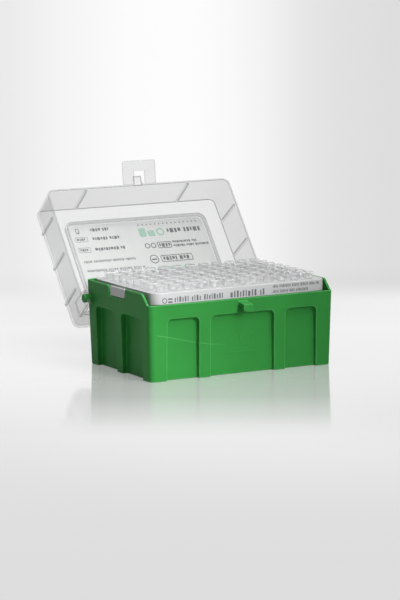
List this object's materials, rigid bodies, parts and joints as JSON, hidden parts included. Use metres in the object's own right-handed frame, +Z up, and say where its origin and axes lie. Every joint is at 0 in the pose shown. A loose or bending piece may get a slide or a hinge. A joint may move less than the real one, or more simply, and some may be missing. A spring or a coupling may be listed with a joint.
{
  "type": "pipette tip box",
  "caption": "Hinged plastic rack box holding a tray of clear pipette tips in a grid, lid open on two pins, with a latch flap.",
  "frame": {"origin": "centre of the flat underside of the box", "axes": "+Z up, +X to the right along the long side, +Y from the catch to the hinge"},
  "size_m": [0.1304, 0.1554, 0.1137],
  "materials": {
    "green_plastic": "satin moulded",
    "white_plastic": "satin moulded",
    "tip_plastic": "clear, slightly milky",
    "clear_plastic": "clear, slightly grey",
    "label_paper": "matt"
  },
  "bodies": {
    "box": {"base": "green_plastic", "tray": "white_plastic", "tip_column_01": "tip_plastic", "tip_column_02": "tip_plastic", "tip_column_03": "tip_plastic", "tip_column_04": "tip_plastic", "tip_column_05": "tip_plastic", "tip_column_06": "tip_plastic", "tip_column_07": "tip_plastic", "tip_column_08": "tip_plastic", "tip_column_09": "tip_plastic", "tip_column_10": "tip_plastic", "tip_column_11": "tip_plastic", "tip_column_12": "tip_plastic"},
    "lid": {"lid": "clear_plastic", "label": "label_paper"},
    "latch": {"latch_flap": "clear_plastic"}
  },
  "joints": [
    {"name": "lid_hinge", "type": "hinge", "parent": "box", "child": "lid", "pos_m": [0, 0.0368, 0.0396], "axis": [1, 0, 0], "range_deg": [0, 128]},
    {"name": "latch_hinge", "type": "hinge", "parent": "lid", "child": "latch", "pos_m": [0, 0.08883, 0.09921], "axis": [1, 0, 0], "range_deg": [-30, 56]}
  ]
}
